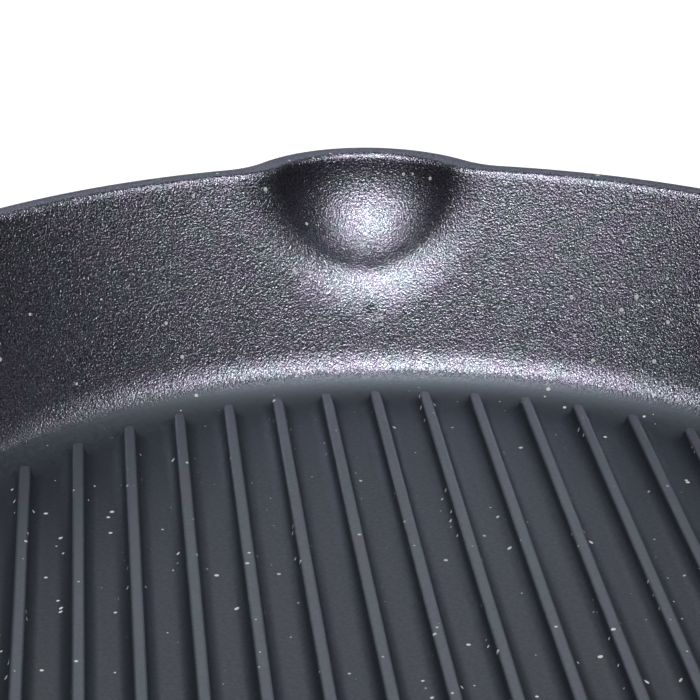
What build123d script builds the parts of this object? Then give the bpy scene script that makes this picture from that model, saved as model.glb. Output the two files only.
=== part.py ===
"""Round cast-iron grill pan with two pouring spouts, a helper ear and a bolted-on wooden handle.

The pan stands on Z = 0 and its axis is Z. The ribs run along Y, from spout to spout.
The long handle leaves the wall towards -X and climbs; the helper ear is on the +X side.
Everything is in millimetres.
"""

import os
from math import cos, radians, sin, sqrt, tan

from build123d import *

# Pan casting
rim_radius = 140.0
pan_height = 51.4
base_thickness = 4.5
wall_top_width = 5.5
wall_slope = 25.5
inner_foot_radius = 16.5
outer_foot_radius = 12.0
rim_inner_bevel = 1.2
rim_outer_bevel = 1.2

# Grill ribs
rib_pitch = 11.2
rib_height = 3.5
rib_base_width = 3.8
rib_draft = 12.0
rib_foot_run = 4.0
rib_root_depth = 1.0

# Pouring spouts, one at each end of the ribs
spout_reach = 11.0
spout_inner_share = 0.486
spout_outer_share = 0.636
spout_inner_blend_share = 9 / 70
spout_outer_blend = 8.0

# Helper ear
ear_tilt = 8.0
ear_thickness = 9.0
ear_reach = 29.0
ear_root_half_width = 52.0
ear_tip_half_width = 37.0
ear_bar_width = 12.0
ear_corner_radius = 17.0
ear_drop = 8.0
ear_edge_bevel = 2.4

# Neck that carries the handle
neck_climb = 12.0
neck_drop = 14.0
neck_length = 44.0
neck_root_half_width = 21.0
neck_root_half_height = 10.0
neck_waist_share = 0.5
neck_waist_half_width = 14.5
neck_waist_half_height = 9.8
neck_spigot_length = 10.0
thread_radius = 4.0
thread_clearance = 0.05
thread_depth = 22.0
hole_beyond_thread = 3.0

# Heat collar between iron and wood
collar_length = 22.0
collar_seat_radius = 10.2
collar_radius = 13.2
slip_clearance = 0.1

# Wooden grip
grip_length = 116.0
grip_waist_share = 0.2
grip_waist_radius = 12.4
grip_middle_share = 0.42
grip_swell_share = 0.74
grip_swell_radius = 15.2
grip_end_radius = 13.8
grip_end_round = 4.5
rod_clearance = 0.3
pocket_radius = 8.2
pocket_depth = 10.0

# Fastening at the far end of the grip
washer_outer_radius = 7.8
washer_thickness = 1.6
spring_washer_radius = 7.0
spring_washer_thickness = 2.2
spring_washer_gap = 1.2
nut_radius = 7.0
nut_length = 11.0
nut_bevel = 0.8
nut_thread_length = 9.0
eye_thickness = 6.0
eye_radius = 6.0
eye_offset = 8.0

# Hanging ring
ring_wire_radius = 1.5
ring_running_clearance = 0.08
ring_half_width = 10.5
ring_length = 32.0
ring_corner_radius = 4.0

overrun = 10.0

# The wall in section: both faces share one slope
slope_run = tan(radians(wall_slope))
rim_inner_radius = rim_radius - wall_top_width
spout_inner_radius = pan_height * spout_inner_share
spout_outer_radius = pan_height * spout_outer_share
spout_inner_blend = rim_radius * spout_inner_blend_share


def outer_radius_at(z):
    """Radius of the outer wall face at height z."""
    return rim_radius - (pan_height - z) * slope_run


def inner_radius_at(z):
    """Radius of the inner wall face at height z."""
    return rim_inner_radius - (pan_height - z) * slope_run


def revolved_wall(floor_height, radius_at, foot_radius):
    """Half section of the pan from its axis to one wall face, taken past the rim."""
    top = pan_height + overrun
    with BuildSketch(Plane.XZ) as section:
        with BuildLine():
            Polyline(
                (0, floor_height),
                (radius_at(floor_height), floor_height),
                (radius_at(top), top),
                (0, top),
                close=True,
            )
        make_face()
        foot = section.vertices().group_by(Axis.Y)[0].sort_by(Axis.X)[-1]
        fillet(foot, foot_radius)
    return section.sketch


def scoop(radius, lip_radius):
    """Column with a ball end at each end of the ribs: the form of a spout."""
    centre_radius = lip_radius - radius
    with Locations((0, centre_radius, pan_height), (0, -centre_radius, pan_height)):
        Sphere(radius)
        Cylinder(radius, overrun, align=(Align.CENTER, Align.CENTER, Align.MIN))

# The ribs end a little way up the foot of the wall, and their roots are sunk into the floor
foot_tangent = inner_foot_radius * tan(radians((90 - wall_slope) / 2))
rib_end_radius = inner_radius_at(base_thickness) - foot_tangent + rib_foot_run
rib_turn_radius = rib_end_radius - rib_base_width / 2
rib_side_count = int(rib_turn_radius / rib_pitch)
rib_root_width = rib_base_width + 2 * rib_root_depth * tan(radians(rib_draft))

# Cavity: the room inside the pan, with two spouts scooped out of its wall
with BuildPart() as cavity:
    add(revolved_wall(base_thickness, inner_radius_at, inner_foot_radius))
    revolve(axis=Axis.Z)
    scoop(spout_inner_radius, rim_inner_radius + spout_reach)
    fillet(cavity.edges().filter_by(GeomType.BSPLINE), spout_inner_blend)

# Helper ear: a loop for two fingers that helps to lift the heavy pan
ear_height = pan_height - ear_drop
ear_root = inner_radius_at(ear_height) - ear_reach / 2
ear_direction = Vector(cos(radians(ear_tilt)), 0, sin(radians(ear_tilt)))
ear_plane = Plane(
    origin=Vector(rim_radius, 0, ear_height),
    x_dir=ear_direction,
    z_dir=Vector(-sin(radians(ear_tilt)), 0, cos(radians(ear_tilt))),
)
with BuildPart() as ear:
    with BuildSketch(ear_plane) as outline:
        with BuildLine():
            Polyline(
                (ear_root - rim_radius, -ear_root_half_width),
                (0, -ear_root_half_width),
                (ear_reach, -ear_tip_half_width),
                (ear_reach, ear_tip_half_width),
                (0, ear_root_half_width),
                (ear_root - rim_radius, ear_root_half_width),
                close=True,
            )
        make_face()
        fillet(outline.vertices().group_by(Axis.X)[-1], ear_corner_radius)
        with BuildLine():
            Polyline(
                (ear_root - rim_radius, ear_bar_width - ear_root_half_width),
                (0, ear_bar_width - ear_root_half_width),
                (ear_reach - ear_bar_width, ear_bar_width - ear_tip_half_width),
                (ear_reach - ear_bar_width, ear_tip_half_width - ear_bar_width),
                (0, ear_root_half_width - ear_bar_width),
                (ear_root - rim_radius, ear_root_half_width - ear_bar_width),
                close=True,
            )
        make_face(mode=Mode.SUBTRACT)
    extrude(amount=ear_thickness / 2, both=True)
    chamfer(ear.edges().filter_by(ear_plane), ear_edge_bevel)

# The handle's own axis leaves the wall towards -X and climbs
neck_start = Vector(
    -inner_radius_at(pan_height - neck_drop), 0, pan_height - neck_drop
)
handle_direction = Vector(-cos(radians(neck_climb)), 0, sin(radians(neck_climb)))


def handle_plane(station):
    """Plane square to the handle, at a distance from where it leaves the wall."""
    return Plane(
        origin=neck_start + handle_direction * station,
        x_dir=(0, 1, 0),
        z_dir=handle_direction,
    )


# Stations along the handle
neck_shoulder = neck_length
spigot_end = neck_shoulder + neck_spigot_length
collar_end = neck_shoulder + collar_length
grip_end = collar_end + grip_length
pocket_floor = grip_end - pocket_depth
spring_washer_start = pocket_floor + washer_thickness
nut_start = spring_washer_start + spring_washer_thickness
nut_end = nut_start + nut_length
eye_station = nut_end + eye_offset
rod_start = spigot_end - thread_depth
rod_end = nut_start + nut_thread_length
thread_hole_radius = thread_radius + thread_clearance
spigot_radius = collar_seat_radius - slip_clearance
grip_plane = Plane(
    origin=neck_start + handle_direction * collar_end,
    x_dir=handle_direction,
    z_dir=(0, -1, 0),
)

# The eye lies in the plane through the handle's axis; the ring hangs from its centre
eye_centre = neck_start + handle_direction * eye_station
eye_plane = Plane(origin=eye_centre, x_dir=handle_direction, z_dir=(0, 1, 0))
ring_plane = Plane(origin=eye_centre, x_dir=(0, 1, 0), z_dir=(1, 0, 0))

# Neck: a tapering arm cast with the wall, ending in a spigot for the heat collar
with BuildPart() as neck:
    with BuildSketch(handle_plane(0)):
        Ellipse(neck_root_half_width, neck_root_half_height)
    with BuildSketch(handle_plane(neck_length * neck_waist_share)):
        Ellipse(neck_waist_half_width, neck_waist_half_height)
    with BuildSketch(handle_plane(neck_shoulder)):
        Circle(collar_radius)
    loft()
    with BuildSketch(handle_plane(neck_shoulder)):
        Circle(spigot_radius)
    extrude(amount=neck_spigot_length)

# Pan casting: wall, floor, ribs, spouts, ear and neck in one piece of iron
with BuildPart() as pan_body:
    add(revolved_wall(0, outer_radius_at, outer_foot_radius))
    revolve(axis=Axis.Z)
    scoop(spout_outer_radius, rim_radius + spout_reach)
    split(bisect_by=Plane.XY.offset(pan_height), keep=Keep.BOTTOM)
    fillet(pan_body.edges().filter_by(GeomType.BSPLINE), spout_outer_blend)
    chamfer(pan_body.faces().sort_by(Axis.Z)[-1].edges(), rim_outer_bevel)
    add(neck.part)
    add(ear.part)
    add(cavity.part, mode=Mode.SUBTRACT)
    rim_face = pan_body.faces().filter_by(Plane.XY).sort_by(Axis.Z)[-1]
    chamfer(rim_face.inner_wires()[0].edges(), rim_inner_bevel)

    # Ribs: drafted bars with round ends that stop along a circle
    with BuildSketch(Plane.XY.offset(base_thickness - rib_root_depth)):
        for side in range(-rib_side_count, rib_side_count + 1):
            rib_place = side * rib_pitch
            half_length = sqrt(rib_turn_radius**2 - rib_place**2)
            with Locations((rib_place, 0)):
                SlotCenterToCenter(2 * half_length, rib_root_width, rotation=90)
    extrude(amount=rib_height + rib_root_depth, taper=rib_draft)

    # Blind threaded hole for the tie rod, drawn at its thread's outer size
    with BuildSketch(handle_plane(spigot_end)):
        Circle(thread_hole_radius)
    extrude(amount=-(thread_depth + hole_beyond_thread), mode=Mode.SUBTRACT)
pan_body.part.label = "pan_body"

# Heat collar: steel sleeve over the neck's spigot and the grip's tenon
with BuildPart() as heat_collar:
    with BuildSketch(handle_plane(neck_shoulder)):
        Circle(collar_radius)
        Circle(collar_seat_radius, mode=Mode.SUBTRACT)
    extrude(amount=collar_length)
heat_collar.part.label = "heat_collar"

# Grip: turned handle, drawn in section along its own axis
with BuildPart() as handle_grip:
    with BuildSketch(grip_plane) as grip_section:
        with BuildLine():
            waist = ThreePointArc(
                (0, collar_radius),
                (grip_length * grip_waist_share, grip_waist_radius),
                (grip_length * grip_middle_share, collar_radius),
            )
            swell = ThreePointArc(
                waist @ 1,
                (grip_length * grip_swell_share, grip_swell_radius),
                (grip_length, grip_end_radius),
            )
            Polyline(swell @ 1, (grip_length, 0), (0, 0), waist @ 0)
        make_face()
        butt = grip_section.vertices().group_by(Axis.X)[-1].sort_by(Axis.Y)[-1]
        fillet(butt, grip_end_round)
    revolve(axis=Axis(handle_plane(collar_end).origin, handle_direction))
    with BuildSketch(handle_plane(collar_end)):
        Circle(spigot_radius)
    extrude(amount=-(collar_length - neck_spigot_length - slip_clearance))
    with BuildSketch(handle_plane(grip_end)):
        Circle(thread_radius + rod_clearance)
    extrude(amount=-(grip_length + collar_length), mode=Mode.SUBTRACT)
    with BuildSketch(handle_plane(grip_end)):
        Circle(pocket_radius)
    extrude(amount=-pocket_depth, mode=Mode.SUBTRACT)
handle_grip.part.label = "handle_grip"

# Tie rod: threaded stud that pulls the grip against the neck
with BuildPart() as tie_rod:
    with BuildSketch(handle_plane(rod_start)):
        Circle(thread_radius)
    extrude(amount=rod_end - rod_start)
tie_rod.part.label = "tie_rod"

# Seat washer: spreads the pull over the wood at the pocket's floor
with BuildPart() as seat_washer:
    with BuildSketch(handle_plane(pocket_floor)):
        Circle(washer_outer_radius)
        Circle(thread_radius + rod_clearance, mode=Mode.SUBTRACT)
    extrude(amount=washer_thickness)
seat_washer.part.label = "seat_washer"

# Spring washer: split ring that keeps the grip tight as the wood moves
with BuildPart() as spring_washer:
    with BuildSketch(handle_plane(spring_washer_start)):
        Circle(spring_washer_radius)
        Circle(thread_radius + rod_clearance, mode=Mode.SUBTRACT)
        with Locations((0, spring_washer_radius)):
            Rectangle(spring_washer_gap, spring_washer_radius, mode=Mode.SUBTRACT)
    extrude(amount=spring_washer_thickness)
spring_washer.part.label = "spring_washer"

# Eye nut: round nut with a flat eye for the hanging ring
with BuildPart() as eye_nut:
    with BuildSketch(handle_plane(nut_start)):
        Circle(nut_radius)
    extrude(amount=nut_length)
    chamfer(eye_nut.faces().sort_by(Axis.X)[0].edges(), nut_bevel)
    with BuildSketch(eye_plane):
        Circle(eye_radius)
        with Locations((-eye_offset / 2 - nut_bevel, 0)):
            Rectangle(eye_offset + 2 * nut_bevel, 2 * eye_radius)
    extrude(amount=eye_thickness / 2, both=True)
    with BuildSketch(eye_plane):
        Circle(ring_wire_radius + ring_running_clearance)
    extrude(amount=eye_thickness, both=True, mode=Mode.SUBTRACT)
    with BuildSketch(handle_plane(nut_start)):
        Circle(thread_hole_radius)
    extrude(amount=nut_thread_length, mode=Mode.SUBTRACT)
eye_nut.part.label = "eye_nut"

# Hanging ring: closed wire loop, straight where it runs through the eye
ring_shoulder = ring_length - ring_half_width
with BuildPart() as hanging_ring:
    with BuildLine(ring_plane) as path:
        corner = ring_half_width - ring_corner_radius
        bar = Line((-corner, 0), (corner, 0))
        far_corner = RadiusArc(
            bar @ 1, (ring_half_width, -ring_corner_radius), ring_corner_radius
        )
        far_leg = Line(far_corner @ 1, (ring_half_width, -ring_shoulder))
        loop_end = RadiusArc(
            far_leg @ 1, (-ring_half_width, -ring_shoulder), ring_half_width
        )
        near_leg = Line(loop_end @ 1, (-ring_half_width, -ring_corner_radius))
        RadiusArc(near_leg @ 1, bar @ 0, ring_corner_radius)
    with BuildSketch(Plane(origin=eye_centre, x_dir=(1, 0, 0), z_dir=(0, 1, 0))):
        Circle(ring_wire_radius)
    sweep(path=path.line)
hanging_ring.part.label = "hanging_ring"

os.makedirs("parts", exist_ok=True)
for piece in (
    pan_body,
    heat_collar,
    handle_grip,
    tie_rod,
    seat_washer,
    spring_washer,
    eye_nut,
    hanging_ring,
):
    export_step(piece.part, f"parts/{piece.part.label}.step")
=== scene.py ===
"""Looks of the grill pan: an iron casting with a ribbed floor, a wooden grip and steel fittings.

The casting is rebuilt here from three closed shells: the pan with its rounded ribs and blended
spouts, the neck and the helper ear. The other pieces keep their CAD meshes. The camera stands
where the photograph was taken.
"""

from math import radians, tan

import bpy
import numpy as np
from mathutils import Matrix, Vector


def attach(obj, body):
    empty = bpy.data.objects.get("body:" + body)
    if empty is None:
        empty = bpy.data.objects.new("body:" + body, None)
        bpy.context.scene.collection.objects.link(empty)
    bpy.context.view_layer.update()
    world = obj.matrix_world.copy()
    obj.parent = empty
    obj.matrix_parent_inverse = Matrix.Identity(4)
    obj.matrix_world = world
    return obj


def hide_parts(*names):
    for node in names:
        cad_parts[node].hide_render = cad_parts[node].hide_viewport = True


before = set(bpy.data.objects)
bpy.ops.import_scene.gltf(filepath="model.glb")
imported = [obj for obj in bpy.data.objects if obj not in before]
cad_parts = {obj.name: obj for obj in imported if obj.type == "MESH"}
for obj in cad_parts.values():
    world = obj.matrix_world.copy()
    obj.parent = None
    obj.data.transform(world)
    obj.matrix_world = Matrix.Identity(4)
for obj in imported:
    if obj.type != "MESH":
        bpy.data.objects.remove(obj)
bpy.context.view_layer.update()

MM = 0.001
UP = np.array([0.0, 0.0, 1.0])
quarter_turn = radians(90.0)

# Driving sizes of the casting, as in the CAD source
rim_radius = 140.0 * MM
pan_height = 51.4 * MM
base_thickness = 4.5 * MM
wall_top_width = 5.5 * MM
wall_lean = radians(25.5)
wall_slope = tan(wall_lean)
inner_foot_radius = 16.5 * MM
outer_foot_radius = 12.0 * MM
foot_arc = quarter_turn - wall_lean
inner_rim = rim_radius - wall_top_width

# Share of the inner foot's radius over which the floor's rise is worked out
foot_rise_share = 0.98

# Rounded rim
rim_inner_round = 1.8 * MM
rim_outer_round = 1.2 * MM

# Ribs
rib_pitch = 11.2 * MM
rib_count_each_side = 9
rib_top_height = 8.0 * MM
rib_half_width = 1.9 * MM
rib_draft = radians(12.0)
rib_shoulder_round = 0.7 * MM
rib_foot_round = 3.0 * MM
rib_end_radius = 105.7 * MM
rib_shoulder_points = 7
rib_foot_points = 9

# Pouring spouts: round scoops that reach past the rim. Each is turned from an arc, given by
# the scoop's radius on the rim's plane, the arc's radius, its lean there and the join's round
spout_reach = 11.0 * MM
spout_inside = (25.0 * MM, 29.0 * MM, radians(10.5), 15.0 * MM)
spout_outside = (32.7 * MM, 32.7 * MM, 0.0, 10.0 * MM)

# The ribbed floor ends on the foot's round, where the wall begins
floor_edge_radius = 109.5 * MM
floor_side_arc = radians(14.0)

# Radius at which the cast grain gives way to the smooth cooking floor
grain_edge_radius = 113.0 * MM
grain_edge_fade = 1.2 * MM
grain_edge_raggedness = 3.5 * MM

# Search for a spout's face: its reach as a share of the scoop's radius, its halvings, and the
# least share of the join's width
search_reach_share = 1.5
search_halvings = 40
least_join_share = 0.02

# A spout pushes the wall out level at the rim, and square to the wall from a third of the way down
push_turn_rate = 3.0

# Spacing of the floor's mesh, which is closest on the ribs' flanks and at their ends
past_rib_foot = 0.6 * MM
side_columns = 4
rib_end_keep_share = 1.3
past_rib_end = 1.4 * MM
before_rib_end = 3.2 * MM
edge_rows = 5
rib_end_rows = 24
middle_rows = 12

# Rings of the wall's mesh, from the floor's edge over the rim and down to the base
grain_edge_rings = 5
inner_foot_rings = 8
inner_face_rings = 44
inner_round_rings = 7
outer_round_rings = 6
outer_face_rings = 30
outer_foot_rings = 9

# Neck and helper ear, which end inside the wall. A section's power is 2 for an ellipse, and more
# for a squarer form
neck_climb = radians(12.0)
neck_drop = 14.0 * MM
neck_length = 44.0 * MM
neck_root = (21.0 * MM, 9.9 * MM)
neck_shoulder = 13.2 * MM
neck_spigot_radius = 10.1 * MM
neck_spigot_length = 10.0 * MM
neck_width_power = 2.6
neck_height_power = 4
neck_section_power = 2.0
neck_rings = 40
ear_tilt = radians(8.0)
ear_drop = 8.0 * MM
ear_corners = np.array([(-16, -46), (0, -46), (23, -31), (23, 31), (0, 46), (-16, 46)]) * MM
ear_rounds = np.array([0, 16, 11, 11, 16, 0]) * MM
ear_half_width = 6.0 * MM
ear_half_thickness = 4.5 * MM
ear_section_power = 3.4
ear_step = 1.5 * MM
least_corner_points = 4
root_flare = 4.0 * MM
root_flare_reach = 9.0 * MM
arm_ring_points = 56


def smooth_max(a, b, blend):
    """The larger of two values, with the corner between them rounded over a width."""
    share = np.clip(0.5 + 0.5 * (a - b) / blend, 0.0, 1.0)
    return b + (a - b) * share + blend * share * (1.0 - share)


def inner_foot():
    """Radius and height of the centre of the inner foot's round."""
    corner = inner_rim - (pan_height - base_thickness) * wall_slope
    tangent = inner_foot_radius * tan(foot_arc / 2)
    return corner - tangent, base_thickness + inner_foot_radius


def outer_foot():
    """Radius and height of the centre of the outer foot's round."""
    corner = rim_radius - pan_height * wall_slope
    return corner - outer_foot_radius * tan(foot_arc / 2), outer_foot_radius


def floor_height(radius):
    """Height of the plain floor and of its rising edge at a distance from the axis."""
    centre, top = inner_foot()
    rise = np.clip(radius - centre, 0.0, inner_foot_radius * foot_rise_share)
    return top - np.sqrt(inner_foot_radius**2 - rise**2)


def arc_points(centre, radius, start, end, count):
    """Points along an arc in a section, by their turn from straight up."""
    turns = np.linspace(start, end, count)
    across, up = centre
    return [(across + radius * np.sin(turn), up + radius * np.cos(turn)) for turn in turns]


def rib_profile():
    """Half of a rib's section: distances from its middle and heights over the floor."""
    rise = rib_top_height - base_thickness
    top = rib_half_width - rise * tan(rib_draft)
    flank = quarter_turn - rib_draft
    shoulder = top - rib_shoulder_round * tan(flank / 2), rise - rib_shoulder_round
    foot = rib_half_width + rib_foot_round * tan(flank / 2), rib_foot_round
    points = [(0.0, rise)]
    points += arc_points(shoulder, rib_shoulder_round, 0.0, flank, rib_shoulder_points)
    points += arc_points(foot, -rib_foot_round, flank, 0.0, rib_foot_points)
    return np.array(points).T


rib_section = rib_profile()
rib_places = np.arange(-rib_count_each_side, rib_count_each_side + 1) * rib_pitch
rib_turn_radius = rib_end_radius - rib_half_width


def ribbed_floor(x, y):
    """Height of the cooking surface: the floor, which rises at its edge, with its ribs on it."""
    nearest = np.clip(np.round(x / rib_pitch), -rib_count_each_side, rib_count_each_side)
    centre = nearest * rib_pitch
    beyond = np.maximum(np.abs(y) - np.sqrt(rib_turn_radius**2 - centre**2), 0.0)
    rib = np.interp(np.hypot(x - centre, beyond), *rib_section)
    floor = floor_height(np.hypot(x, y))
    return floor + rib * (rib_top_height - floor) / (rib_top_height - base_thickness)


def floor_columns():
    """Places across the floor: close together on the ribs' flanks."""
    across = rib_section[0]
    offsets = np.concatenate([[0.0, across[1] / 2], across[1:], [across[-1] + past_rib_foot]])
    near = (rib_places[:, None] + np.concatenate([-offsets[:0:-1], offsets])[None, :]).ravel()
    between = rib_places[:-1] + rib_pitch / 2
    last = floor_edge_radius * np.cos(floor_side_arc)
    outer = np.linspace(near.max(), last, side_columns)[1:-1]
    return np.unique(np.concatenate([near, between, outer, -outer]))


def floor_rows(x):
    """Places along each column, from the floor's edge to the middle, close at the ribs' ends."""
    edge = np.sqrt(floor_edge_radius**2 - x**2)
    places = rib_places[rib_count_each_side:]
    ends = np.sqrt(rib_turn_radius**2 - places**2) + rib_half_width
    keep = rib_half_width * rib_end_keep_share
    knots = np.ravel(np.column_stack([places - keep, places + keep]))
    end = np.interp(np.abs(x), knots, np.repeat(ends, 2))
    past = np.abs(x) > knots[-1]
    last_edge = np.sqrt(floor_edge_radius**2 - knots[-1] ** 2)
    end = np.where(past, ends[-1] * edge / last_edge, end)
    high, low = end + past_rib_end, end - before_rib_end
    rows = [edge + (high - edge) * share for share in np.linspace(0.0, 1.0, edge_rows)]
    rows += [high + (low - high) * share for share in np.linspace(0.0, 1.0, rib_end_rows)[1:]]
    rows += [low * share for share in np.linspace(1.0, 0.0, middle_rows)[1:]]
    return np.array(rows)


def floor_grid():
    """Points of the ribbed floor: straight columns, and an arc of the floor's edge at each side."""
    x = floor_columns()
    upper = floor_rows(x)
    y = np.vstack([upper, -upper[-2::-1]])
    x = np.broadcast_to(x, y.shape)
    side = y[:, -1:] / y[0, -1] * floor_side_arc
    arc_x, arc_y = floor_edge_radius * np.cos(side), floor_edge_radius * np.sin(side)
    x = np.hstack([-arc_x, x, arc_x])
    y = np.hstack([arc_y, y, arc_y])
    return x, y, ribbed_floor(x, y)


def wall_point(angle, radius, height, toward, rim, spout):
    """Points of a wall face, pushed out from the plain wall where a spout bulges.

    The width of the smooth join follows its round and the angle between the two faces.
    """
    rim_circle, arc, lean, blend = spout
    centre = rim + spout_reach - rim_circle
    inset = arc * np.cos(lean) - rim_circle
    arc_height = pan_height + arc * np.sin(lean)
    ahead = np.abs(np.sin(angle)) * centre
    aside = np.cos(angle) * centre
    near, far = np.zeros_like(angle), np.full_like(angle, search_reach_share * rim_circle)
    for _ in range(search_halvings):
        middle = (near + far) / 2
        r = radius + middle * np.cos(toward)
        z = height - middle * np.sin(toward)
        to_wall = (r - rim + (pan_height - z) * wall_slope) * np.cos(wall_lean)
        level = np.hypot(r - ahead, aside)
        from_arc = np.hypot(level + inset, arc_height - z)
        sideways = np.cos(wall_lean) * (r - ahead) / level * (level + inset)
        facing = (sideways + np.sin(wall_lean) * (arc_height - z)) / from_arc
        width = blend * np.clip(1.0 - facing, least_join_share, 1.0)
        outside = -smooth_max(-to_wall, arc - from_arc, width) > 0.0
        far = np.where(outside, middle, far)
        near = np.where(outside, near, middle)
    r = radius + near * np.cos(toward)
    return np.stack([r * np.cos(angle), r * np.sin(angle), height - near * np.sin(toward)], axis=1)


def wall_face(angle, low, high, rim, spout, count):
    """Rings of a wall face from a low to a high level."""
    rings = []
    for share in np.linspace(0.0, 1.0, count):
        height = low + (high - low) * share
        turn = wall_lean * min(1.0, (high - height) / (high - low) * push_turn_rate)
        radius = rim - (pan_height - height) * wall_slope
        rings.append(wall_point(angle, radius, height, turn, rim, spout))
    return rings


def outward(ring):
    """Level directions square to a ring, pointing away from the axis."""
    along = np.roll(ring, -1, axis=0) - np.roll(ring, 1, axis=0)
    square = np.stack([along[:, 1], -along[:, 0], np.zeros(len(ring))], axis=1)
    square /= np.linalg.norm(square, axis=1)[:, None]
    return square * np.sign(np.sum(square * ring, axis=1))[:, None]


def rim_round(below, edge, size, inward, turns):
    """Rings of the rounding between a wall face and the rim's top.

    Each ring is an arc's step, from the wall's own lean at 0 to level at 1.
    """
    step = edge - below
    lean = np.arctan2(np.linalg.norm(step[:, :2], axis=1), step[:, 2])
    start = inward * lean
    square = outward(edge)
    centre = edge + square * (inward * size / np.cos(lean))[:, None]
    rings = []
    for turn in turns:
        rise = start + (quarter_turn - start) * turn
        level = square * (inward * size * np.cos(rise))[:, None]
        rings.append(centre - level + UP * (size * np.sin(rise))[:, None])
    return rings


def wall_rows(angle):
    """Rings of the wall from the floor's edge over the rim and down to the base."""
    rings = []
    centre, top = inner_foot()
    flat = np.stack([np.cos(angle), np.sin(angle), np.zeros_like(angle)], axis=1)
    start = np.arcsin((floor_edge_radius - centre) / inner_foot_radius)
    grain = np.arcsin((grain_edge_radius - centre) / inner_foot_radius)
    to_grain = np.linspace(start, grain, grain_edge_rings)
    to_wall = np.linspace(grain, foot_arc, inner_foot_rings)[1:]
    for turn in np.concatenate([to_grain, to_wall]):
        radius = centre + inner_foot_radius * np.sin(turn)
        rings.append(flat * radius + UP * (top - inner_foot_radius * np.cos(turn)))
    low = top - inner_foot_radius * np.cos(foot_arc)
    high = pan_height - rim_inner_round
    rings += wall_face(angle, low, high, inner_rim, spout_inside, inner_face_rings)[1:]
    turns = np.linspace(0.0, 1.0, inner_round_rings)[1:]
    rings += rim_round(rings[-2], rings[-1], rim_inner_round, 1.0, turns)
    centre, top = outer_foot()
    low = top - outer_foot_radius * np.cos(foot_arc)
    high = pan_height - rim_outer_round
    face = wall_face(angle, low, high, rim_radius, spout_outside, outer_face_rings)[::-1]
    turns = np.linspace(1.0, 0.0, outer_round_rings)
    rings += rim_round(face[1], face[0], rim_outer_round, -1.0, turns)
    rings += face[2:]
    for turn in np.linspace(foot_arc, 0.0, outer_foot_rings)[1:]:
        radius = centre + outer_foot_radius * np.sin(turn)
        rings.append(flat * radius + UP * (top - outer_foot_radius * np.cos(turn)))
    return rings


def pan_mesh():
    """Closed mesh of the round pan: ribbed floor, wall, rim, spouts and base."""
    x, y, z = floor_grid()
    rows, columns = x.shape
    floor_points = np.stack([x.ravel(), y.ravel(), z.ravel()], axis=1)
    index = np.arange(rows * columns).reshape(rows, columns)
    corners = (index[:-1, :-1], index[1:, :-1], index[1:, 1:], index[:-1, 1:])
    faces = list(zip(*(corner.ravel() for corner in corners)))
    ring = np.concatenate([index[0, :-1], index[:-1, -1], index[-1, :0:-1], index[:0:-1, 0]])
    edge = floor_points[ring]
    angle = np.arctan2(edge[:, 1], edge[:, 0])
    points = [floor_points]
    total = len(floor_points)
    previous = ring
    for wall_ring in wall_rows(angle)[1:]:
        points.append(wall_ring)
        current = np.arange(total, total + len(angle))
        total += len(angle)
        after, current_after = np.roll(previous, -1), np.roll(current, -1)
        faces += list(zip(previous, after, current_after, current))
        previous = current
    faces.append(tuple(previous[::-1]))
    return np.concatenate(points), faces


def tube_mesh(rings):
    """Closed mesh from rings of points, with a flat cap at each end."""
    count = len(rings[0])
    faces = []
    for step in range(len(rings) - 1):
        ring = np.arange(count) + step * count
        after = np.roll(ring, -1)
        faces += list(zip(ring, after, after + count, ring + count))
    faces.append(tuple(np.arange(count)[::-1]))
    faces.append(tuple(np.arange(count) + (len(rings) - 1) * count))
    return np.concatenate(rings), faces


def outer_wall_radius(height):
    """Radius of the plain outer wall at a height."""
    return rim_radius - (pan_height - height) * wall_slope


def rooted(ring, at_root):
    """A ring of an arm, kept from reaching through the wall; the root ring lies inside the wall."""
    radius = np.hypot(ring[:, 0], ring[:, 1])
    inside = outer_wall_radius(ring[:, 2]) - wall_top_width / 2
    wanted = inside if at_root else np.maximum(radius, inside)
    scale = (wanted / radius)[:, None]
    return ring * np.concatenate([scale, scale, np.ones_like(scale)], axis=1)


def arm_ring(centre, side, above, half_width, half_height, power):
    """A ring round an arm, which flares where it meets the wall."""
    turn = np.linspace(0.0, 2 * np.pi, arm_ring_points, endpoint=False)
    across = np.sign(np.cos(turn)) * np.abs(np.cos(turn)) ** (2 / power)
    upward = np.sign(np.sin(turn)) * np.abs(np.sin(turn)) ** (2 / power)
    plain = centre + np.outer(across * half_width, side) + np.outer(upward * half_height, above)
    radius = np.hypot(plain[:, 0], plain[:, 1])
    clear = (radius - outer_wall_radius(plain[:, 2])) * np.cos(wall_lean)
    flare = root_flare * np.clip(1.0 - clear / root_flare_reach, 0.0, 1.0) ** 2
    return plain + flare[:, None] * (np.outer(across, side) + np.outer(upward, above))


def neck_mesh():
    """Closed mesh of the neck, from inside the wall to the spigot under the collar."""
    along = np.array([-np.cos(neck_climb), 0.0, np.sin(neck_climb)])
    above = np.array([np.sin(neck_climb), 0.0, np.cos(neck_climb)])
    side = np.array([0.0, 1.0, 0.0])
    start_height = pan_height - neck_drop
    start = np.array([-(inner_rim - neck_drop * wall_slope), 0.0, start_height])
    rings = []
    root_width, root_height = neck_root
    for share in np.linspace(0.0, 1.0, neck_rings):
        half_width = neck_shoulder + (root_width - neck_shoulder) * (1.0 - share) ** neck_width_power
        half_height = root_height + (neck_shoulder - root_height) * share**neck_height_power
        centre = start + along * neck_length * share
        ring = arm_ring(centre, side, above, half_width, half_height, neck_section_power)
        rings.append(rooted(ring, share == 0.0))
    radius = neck_spigot_radius
    for beyond in (0.0, neck_spigot_length):
        centre = start + along * (neck_length + beyond)
        rings.append(arm_ring(centre, side, above, radius, radius, neck_section_power))
    return tube_mesh(rings)


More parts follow.
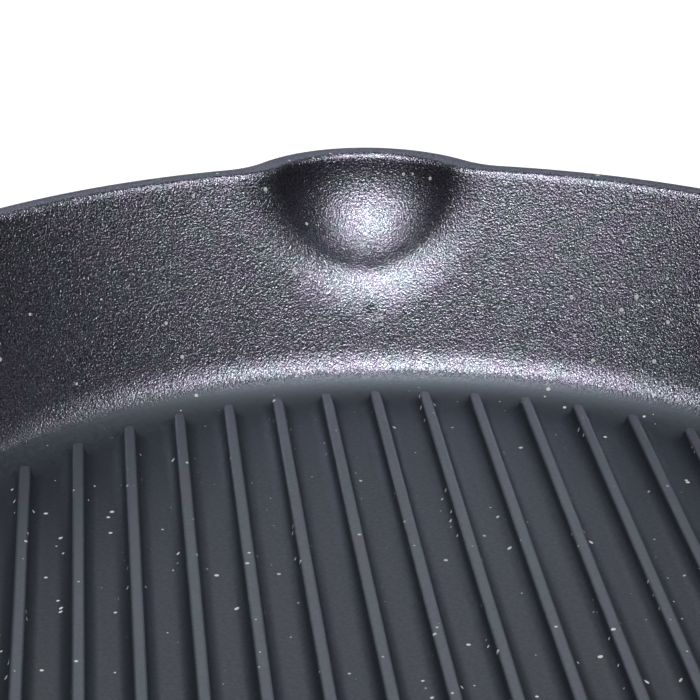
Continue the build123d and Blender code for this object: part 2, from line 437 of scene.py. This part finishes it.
def rounded_path(corners, rounds, step):
    """Points along a line of corners, with each corner rounded by its radius."""
    path = [corners[0]]
    for before, corner, after, radius in zip(corners, corners[1:], corners[2:], rounds[1:-1]):
        back = (before - corner) / np.linalg.norm(before - corner)
        ahead = (after - corner) / np.linalg.norm(after - corner)
        half = np.arccos(np.clip(back @ ahead, -1.0, 1.0)) / 2
        middle = back + ahead
        centre = corner + middle / np.linalg.norm(middle) * radius / np.sin(half)
        first = corner + back * radius / np.tan(half) - centre
        last = corner + ahead * radius / np.tan(half) - centre
        count = max(least_corner_points, int(radius * (np.pi - 2 * half) / step))
        for share in np.linspace(0.0, 1.0, count):
            spoke = first * (1 - share) + last * share
            path.append(centre + spoke / np.linalg.norm(spoke) * radius)
    path.append(corners[-1])
    points = [path[0]]
    for here, there in zip(path, path[1:]):
        count = max(1, int(np.linalg.norm(there - here) / step))
        points += [here + (there - here) * share for share in np.linspace(0.0, 1.0, count + 1)[1:]]
    return np.array(points)


def ear_mesh():
    """Closed mesh of the helper ear: a bar swept along a loop, with both ends in the wall."""
    outward_x = np.array([np.cos(ear_tilt), 0.0, np.sin(ear_tilt)])
    above = np.array([-np.sin(ear_tilt), 0.0, np.cos(ear_tilt)])
    level = np.array([0.0, 1.0, 0.0])
    origin = np.array([rim_radius, 0.0, pan_height - ear_drop])
    path = rounded_path(ear_corners, ear_rounds, ear_step)
    course = np.gradient(path, axis=0)
    course /= np.linalg.norm(course, axis=1)[:, None]
    rings = []
    for step, ((x, y), (ahead_x, ahead_y)) in enumerate(zip(path, course)):
        centre = origin + outward_x * x + level * y
        side = outward_x * ahead_y - level * ahead_x
        ring = arm_ring(centre, side, above, ear_half_width, ear_half_thickness, ear_section_power)
        rings.append(rooted(ring, step in (0, len(path) - 1)))
    return tube_mesh(rings)


# Only the caps have another number of corners
quad_corners = 4


def add_mesh(name, shells):
    """A mesh object from closed shells of points in metres, smooth but for its flat caps."""
    points, faces, total = [], [], 0
    for shell_points, shell_faces in shells:
        points += [tuple(point) for point in shell_points]
        faces += [tuple(int(i) + total for i in face) for face in shell_faces]
        total = len(points)
    mesh = bpy.data.meshes.new(name)
    mesh.from_pydata(points, [], faces)
    mesh.update()
    for face in mesh.polygons:
        face.use_smooth = len(face.vertices) == quad_corners
    piece = bpy.data.objects.new(name, mesh)
    bpy.context.scene.collection.objects.link(piece)
    return piece


class Graph:
    """Short ways to build a material's nodes."""

    def __init__(self, name):
        self.material = bpy.data.materials.new(name)
        self.material.use_nodes = True
        self.tree = self.material.node_tree
        self.shader = self.tree.nodes["Principled BSDF"]
        self.place = self.node("ShaderNodeTexCoord").outputs["Object"]

    def node(self, kind, links=(), values=(), **settings):
        """A new node, with its inputs linked or set to values."""
        made = self.tree.nodes.new(kind)
        for key, value in settings.items():
            setattr(made, key, value)
        for key, value in dict(values).items():
            made.inputs[key].default_value = value
        for key, source in dict(links).items():
            self.tree.links.new(source, made.inputs[key])
        return made

    def math(self, operation, *terms):
        """The result of one operation on sockets and numbers."""
        made = self.tree.nodes.new("ShaderNodeMath")
        made.operation = operation
        for index, term in enumerate(terms):
            if isinstance(term, (int, float)):
                made.inputs[index].default_value = term
            else:
                self.tree.links.new(term, made.inputs[index])
        return made.outputs[0]

    def noise(self, scale, detail=2.0, roughness=0.5, distortion=0.0, place=None):
        """Noise from 0 to 1, at a scale per metre where no place is given."""
        made = self.node(
            "ShaderNodeTexNoise",
            {"Vector": place or self.place},
            {"Scale": scale, "Detail": detail, "Roughness": roughness, "Distortion": distortion},
        )
        return made.outputs["Fac"]

    def fade(self, value, start, end, low=0.0, high=1.0):
        """A value carried smoothly from one range to another."""
        made = self.node(
            "ShaderNodeMapRange",
            {"Value": value},
            {"From Min": start, "From Max": end, "To Min": low, "To Max": high},
            interpolation_type="SMOOTHSTEP",
        )
        return made.outputs["Result"]

    def blend(self, share, first, second):
        """A colour between two colours or sockets."""
        made = self.node("ShaderNodeMix", {"Factor": share}, data_type="RGBA")
        for socket, colour in (("A", first), ("B", second)):
            target = [i for i in made.inputs if i.name == socket and i.type == "RGBA"][0]
            if isinstance(colour, tuple):
                target.default_value = (*colour, 1.0)
            else:
                self.tree.links.new(colour, target)
        return [o for o in made.outputs if o.type == "RGBA"][0]

    def relief(self, height):
        """The normal of a surface that is raised by a height in metres."""
        made = self.node("ShaderNodeBump", {"Height": height}, {"Strength": 1.0, "Distance": 1.0})
        return made.outputs["Normal"]

    def finish(self, links, values):
        """The material, once its shader's inputs are linked or set."""
        for key, source in links.items():
            self.tree.links.new(source, self.shader.inputs[key])
        for key, value in values.items():
            self.shader.inputs[key].default_value = value
        return self.material


# Iron: how fine its patterns are, per metre
sand_scale = 2900.0
coarse_scale = 2000.0
mottle_scale = 1100.0
ragged_scale = 1500.0
tint_scale = 160.0
cloud_scale = 45.0

# Iron: shades of the wall's grain, darker in its hollows as painted shade and partly the iron's own
# tone, and of the worn ribs, each in a violet and a blue tint, and of the cooking floor
wall_hollows_painted_shade = ((0.135, 0.122, 0.169), (0.118, 0.129, 0.159))
wall_grains = ((0.362, 0.338, 0.411), (0.329, 0.358, 0.392))
worn_ribs = ((0.046, 0.043, 0.058), (0.038, 0.050, 0.053))
floor_shades = ((0.002, 0.0026, 0.0036), (0.008, 0.0094, 0.012))
floor_haze = (0.003, 0.0042, 0.0046)
iron_gloss_tint = (0.74, 0.85, 1.0, 1.0)
iron_gloss_index = 2.0

# Iron: roughness and relief. The floor keeps a share of the wall's grain
wall_roughness = 0.29
floor_roughness = (0.55, 0.45)
worn_roughness_change = -0.04
sand_relief = 0.09 * MM
coarse_relief = 0.17 * MM
floor_grain_share = 0.12

# Iron: levels over which the underside's grain fades, how deep a rib's top is worn, and where the
# worn part ends
underside_levels = (base_thickness * 0.7, base_thickness * 0.9)
worn_depth = 0.5 * MM
worn_edge = (grain_edge_radius - 2 * MM, grain_edge_radius - 1 * MM)

# Dust: cells per metre, the specks' sizes as shares of a cell, and how these drift from place to
# place
dust_scale = 300.0
dust_size_shares = (0.03, 0.12)
dust_drift_scale = 28.0
dust_drift_shares = (0.6, 1.3)
dust_colour = (0.55, 0.55, 0.53)
dust_roughness = 0.8
dust_relief = 0.12 * MM


def iron_masks(g):
    """Where the casting keeps its mould's grain, where a rib's top is worn, and where dust lies."""
    split = g.node("ShaderNodeSeparateXYZ", {"Vector": g.place}).outputs
    squares = g.math("ADD", g.math("POWER", split["X"], 2.0), g.math("POWER", split["Y"], 2.0))
    radius = g.math("SQRT", squares)
    ragged = g.math("SUBTRACT", g.noise(ragged_scale, 2.0, 0.6), 0.5)
    edge = g.math("ADD", radius, g.math("MULTIPLY", ragged, grain_edge_raggedness))
    cast = g.fade(edge, grain_edge_radius - grain_edge_fade, grain_edge_radius + grain_edge_fade)
    cast = g.math("MAXIMUM", cast, g.fade(split["Z"], *underside_levels, 1.0, 0.0))
    inside = g.fade(radius, *worn_edge, 1.0, 0.0)
    rib_top = g.fade(split["Z"], rib_top_height - worn_depth, rib_top_height)
    worn = g.math("MULTIPLY", inside, rib_top)
    cells = g.node("ShaderNodeTexVoronoi", {"Vector": g.place}, {"Scale": dust_scale}).outputs
    chance = g.node("ShaderNodeSeparateColor", {"Color": cells["Color"]}).outputs["Red"]
    drift = g.fade(g.noise(dust_drift_scale, 1.0), 0.4, 0.6, *dust_drift_shares)
    size = g.math("MULTIPLY", g.fade(chance, 0.2, 1.0, *dust_size_shares), drift)
    dust = g.math("LESS_THAN", cells["Distance"], size)
    return cast, worn, dust


def iron_material():
    """Cast iron: a sandy wall grain with painted shade in its hollows, a smoother oiled cooking
    floor, and specks of dust.
    """
    g = Graph("seasoned_iron")
    cast, worn, dust = iron_masks(g)
    sand = g.noise(sand_scale, 1.0, 0.5)
    coarse = g.noise(coarse_scale, 2.0, 0.6)
    tint = g.fade(g.noise(tint_scale, 3.0, 0.6), 0.38, 0.62)
    mottle = g.fade(g.noise(mottle_scale, 3.0, 0.65), 0.3, 0.7)
    cloud = g.fade(g.noise(cloud_scale, 3.0), 0.3, 0.7)
    # Painted shade: the wall's colour is darker where the fine grain's relief is low, lighter where
    # it is high
    hollow_painted_shade, grains = g.blend(tint, *wall_hollows_painted_shade), g.blend(tint, *wall_grains)
    wall = g.blend(g.fade(sand, 0.40, 0.62), hollow_painted_shade, grains)
    floor = g.blend(mottle, *floor_shades)
    floor = g.blend(g.math("MULTIPLY", cloud, 0.5), floor, floor_haze)
    floor = g.blend(worn, floor, g.blend(tint, *worn_ribs))
    colour = g.blend(dust, g.blend(cast, floor, wall), dust_colour)
    metal = g.math("MULTIPLY", cast, g.math("SUBTRACT", 1.0, dust))
    floor_rough = g.fade(mottle, 0.0, 1.0, *floor_roughness)
    floor_rough = g.math("ADD", floor_rough, g.math("MULTIPLY", worn, worn_roughness_change))
    mix = g.node("ShaderNodeMix", {"Factor": cast, "A": floor_rough}, {"B": wall_roughness})
    dust_rough = g.math("MULTIPLY", dust, dust_roughness)
    rough = g.math("MAXIMUM", mix.outputs["Result"], dust_rough)
    fine = g.math("MULTIPLY", sand, sand_relief)
    grain = g.math("ADD", fine, g.math("MULTIPLY", coarse, coarse_relief))
    grain = g.math("MULTIPLY", grain, g.fade(cast, 0.0, 1.0, floor_grain_share, 1.0))
    normal = g.relief(g.math("ADD", grain, g.math("MULTIPLY", dust, dust_relief)))
    return g.finish(
        {"Base Color": colour, "Metallic": metal, "Roughness": rough, "Normal": normal},
        {"IOR": iron_gloss_index, "Specular Tint": iron_gloss_tint},
    )


def along_handle(g, *scale):
    """The place in metres, turned so that X runs along the handle, and scaled."""
    values = {"Rotation": (0.0, -neck_climb, 0.0), "Scale": scale}
    return g.node("ShaderNodeMapping", {"Vector": g.place}, values).outputs["Vector"]


# Wood: how fine its patterns are along the handle and across it both ways, per metre
fibre_scales = (14.0, 260.0, 260.0)
ring_scales = (5.0, 90.0, 60.0)
pore_scales = (110.0, 2100.0, 2100.0)

# Wood: colours, roughness and relief
wood_shades = ((0.24, 0.115, 0.048), (0.47, 0.26, 0.125))
pore_colour = (0.13, 0.06, 0.025)
wood_roughness = (0.40, 0.52)
wood_gloss_index = 1.48
fibre_relief = 0.05 * MM
pore_relief = 0.06 * MM


def wood_material():
    """Oiled beech: long fibres, soft growth rings and short dark pores along the handle."""
    g = Graph("grip_wood")
    fibre = g.noise(1.0, 4.0, 0.6, 0.4, along_handle(g, *fibre_scales))
    ring = g.node(
        "ShaderNodeTexWave",
        {"Vector": along_handle(g, *ring_scales)},
        {"Scale": 1.0, "Distortion": 4.0, "Detail": 2.0, "Detail Scale": 0.6},
        bands_direction="Y",
    ).outputs["Fac"]
    pore = g.fade(g.noise(1.0, 2.0, 0.5, 0.0, along_handle(g, *pore_scales)), 0.60, 0.72)
    stripe = g.math("ADD", g.math("MULTIPLY", fibre, 0.6), g.math("MULTIPLY", ring, 0.4))
    colour = g.blend(g.fade(stripe, 0.25, 0.75), *wood_shades)
    colour = g.blend(g.math("MULTIPLY", pore, 0.55), colour, pore_colour)
    raised = g.math("MULTIPLY", fibre, fibre_relief)
    normal = g.relief(g.math("SUBTRACT", raised, g.math("MULTIPLY", pore, pore_relief)))
    rough = g.fade(fibre, 0.3, 0.7, *wood_roughness)
    links = {"Base Color": colour, "Roughness": rough, "Normal": normal}
    return g.finish(links, {"IOR": wood_gloss_index})


# Steel: handling marks per metre and what they add to the roughness, and the streaks' relief
smudge_scale = 90.0
smudge_roughness = 0.06
streak_relief = 0.01 * MM


def steel_material(name, dark, light, streaks, low, high):
    """Steel with fine streaks from brushing, which change its gloss, and faint handling marks."""
    g = Graph(name)
    streak = g.noise(1.0, 3.0, 0.6, 0.0, along_handle(g, *streaks))
    smudge = g.fade(g.noise(smudge_scale, 3.0), 0.35, 0.7)
    colour = g.blend(g.math("MULTIPLY", g.math("ADD", streak, smudge), 0.5), light, dark)
    rough = g.fade(streak, 0.3, 0.7, low, high)
    rough = g.math("ADD", rough, g.math("MULTIPLY", smudge, smudge_roughness))
    normal = g.relief(g.math("MULTIPLY", streak, streak_relief))
    links = {"Base Color": colour, "Roughness": rough, "Normal": normal}
    return g.finish(links, {"Metallic": 1.0})


# Small rounds on the sharp edges of the CAD pieces
sharp_edge = radians(40.0)
edge_segments = 2
grip_edge_round = 0.4 * MM
collar_edge_round = 0.3 * MM
hardware_edge_round = 0.2 * MM


def dress(name, material, edge=0.0):
    """Give a CAD node its material, and round its sharp edges a little."""
    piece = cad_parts[name]
    for place in piece.material_slots:
        place.material = material
    if edge:
        rounding = piece.modifiers.new("edge_round", "BEVEL")
        rounding.width = edge
        rounding.segments = edge_segments
        rounding.limit_method = "ANGLE"
        rounding.angle_limit = sharp_edge
        rounding.harden_normals = True


# Steels of the handle: two colours, how fine the streaks are along and across it, and their gloss
turned_streaks = (1900.0, 60.0, 60.0)
drawn_streaks = (300.0, 300.0, 300.0)
collar_looks = ((0.46, 0.46, 0.47), (0.60, 0.60, 0.61), turned_streaks, 0.26, 0.40)
hardware_looks = ((0.50, 0.50, 0.51), (0.63, 0.63, 0.64), turned_streaks, 0.24, 0.36)
ring_looks = ((0.52, 0.52, 0.53), (0.66, 0.66, 0.67), drawn_streaks, 0.20, 0.32)


def dress_handle():
    """Materials and small edge rounds of the pieces on the handle."""
    dress("handle_grip", wood_material(), grip_edge_round)
    dress("heat_collar", steel_material("collar_steel", *collar_looks), collar_edge_round)
    hardware = steel_material("hardware_steel", *hardware_looks)
    for name in ("tie_rod", "seat_washer", "spring_washer", "eye_nut"):
        dress(name, hardware, hardware_edge_round)
    dress("hanging_ring", steel_material("ring_steel", *ring_looks))


def build_casting():
    """The pan, its neck and its ear, as one casting in place of the CAD body."""
    pan = add_mesh("pan_casting", [pan_mesh(), neck_mesh(), ear_mesh()])
    pan.data.materials.append(iron_material())
    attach(pan, "pan")
    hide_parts("pan_body")


def add_light(name, place, target, size, power):
    """A rectangular soft lamp that faces a target."""
    lamp = bpy.data.lights.new(name, "AREA")
    lamp.shape = "RECTANGLE"
    lamp.size, lamp.size_y = size
    lamp.energy = power
    lamp_object = bpy.data.objects.new(name, lamp)
    lamp_object.location = place
    lamp_object.rotation_euler = (target - place).to_track_quat("-Z", "Y").to_euler()
    bpy.context.scene.collection.objects.link(lamp_object)


# Lamps: target, rise, swing from -Y towards -X, distance, width and height, and power in watts
key_lamp = (Vector((0.0, 120.0, 30.0)) * MM, radians(66.0), radians(1.0), 1.1, (1.05, 0.36), 13.5)
backdrop_lamp = (Vector((0.0, 0.0, 20.0)) * MM, radians(28.0), radians(180.0), 1.7, (1.2, 0.8), 2.7)


def add_lamps():
    """A soft box high up over the viewer, and a dimmer one behind the pan for the white backdrop.

    The cooking floor and the rim's top reflect the second.
    """
    for name, lamp in (("key", key_lamp), ("backdrop", backdrop_lamp)):
        target, rise, swing, distance, size, power = lamp
        way = Vector((-np.sin(swing) * np.cos(rise), -np.cos(swing) * np.cos(rise), np.sin(rise)))
        add_light(name, target + way * distance, target, size, power)


# Stage: its size in metres, its paint, and how brightly it shows to the camera and in reflections
stage_size = 6.0
stage_paint = (0.55, 0.55, 0.55, 1)
stage_roughness = 0.9
stage_glow = 0.7
white = (1, 1, 1, 1)


def add_stage():
    """White floor: it lights as plain paint and shows white, but for the object's shadow."""
    bpy.ops.mesh.primitive_plane_add(size=stage_size, location=(0, 0, 0))
    floor = bpy.context.object
    floor.name = "stage_floor"
    g = Graph("pale_floor")
    ray = g.node("ShaderNodeLightPath").outputs
    seen = g.math("MAXIMUM", ray["Is Camera Ray"], ray["Is Glossy Ray"])
    seen = g.math("MAXIMUM", seen, ray["Is Transmission Ray"])
    glow = g.math("MULTIPLY", seen, stage_glow)
    values = {"Base Color": stage_paint, "Emission Color": white, "Roughness": stage_roughness}
    floor.data.materials.append(g.finish({"Emission Strength": glow}, values))


# Strength of the room's light, level with the pan and overhead
room_level = 0.01
room_overhead = 0.08


def add_world():
    """A dim room that is lighter overhead than along the horizon."""
    world = bpy.data.worlds.new("studio")
    bpy.context.scene.world = world
    world.use_nodes = True
    nodes, links = world.node_tree.nodes, world.node_tree.links
    place = nodes.new("ShaderNodeTexCoord")
    split = nodes.new("ShaderNodeSeparateXYZ")
    ramp = nodes.new("ShaderNodeMapRange")
    ramp.inputs["To Min"].default_value = room_level
    ramp.inputs["To Max"].default_value = room_overhead
    links.new(place.outputs["Generated"], split.inputs[0])
    links.new(split.outputs["Z"], ramp.inputs["Value"])
    background = nodes["Background"]
    background.inputs["Color"].default_value = white
    links.new(ramp.outputs["Result"], background.inputs["Strength"])


# Camera of the photograph, with its lens and sensor in millimetres
camera_place = Vector((-61.57, -442.4, 242.93)) * MM
camera_pitch = radians(22.23)
camera_yaw = radians(5.809)
camera_roll = radians(0.972)
camera_lens = 135.32
camera_sensor = 36.0
camera_near = 10.0 * MM


def add_camera():
    """The camera of the photograph, turned by its yaw, pitch and roll."""
    forward = Vector(
        (
            np.sin(camera_yaw) * np.cos(camera_pitch),
            np.cos(camera_yaw) * np.cos(camera_pitch),
            -np.sin(camera_pitch),
        )
    )
    right = Vector((np.cos(camera_yaw), -np.sin(camera_yaw), 0.0))
    up = right.cross(forward)
    rolled_right = right * np.cos(camera_roll) + up * np.sin(camera_roll)
    rolled_up = up * np.cos(camera_roll) - right * np.sin(camera_roll)
    data = bpy.data.cameras.new("photo_camera")
    data.lens = camera_lens
    data.sensor_width = camera_sensor
    data.clip_start = camera_near
    camera = bpy.data.objects.new("photo_camera", data)
    turn = Matrix((rolled_right, rolled_up, -forward)).transposed()
    camera.matrix_world = Matrix.Translation(camera_place) @ turn.to_4x4()
    bpy.context.scene.collection.objects.link(camera)
    bpy.context.scene.camera = camera


build_casting()
dress_handle()
add_stage()
add_world()
add_lamps()
add_camera()
bpy.context.scene.view_settings.view_transform = "Standard"
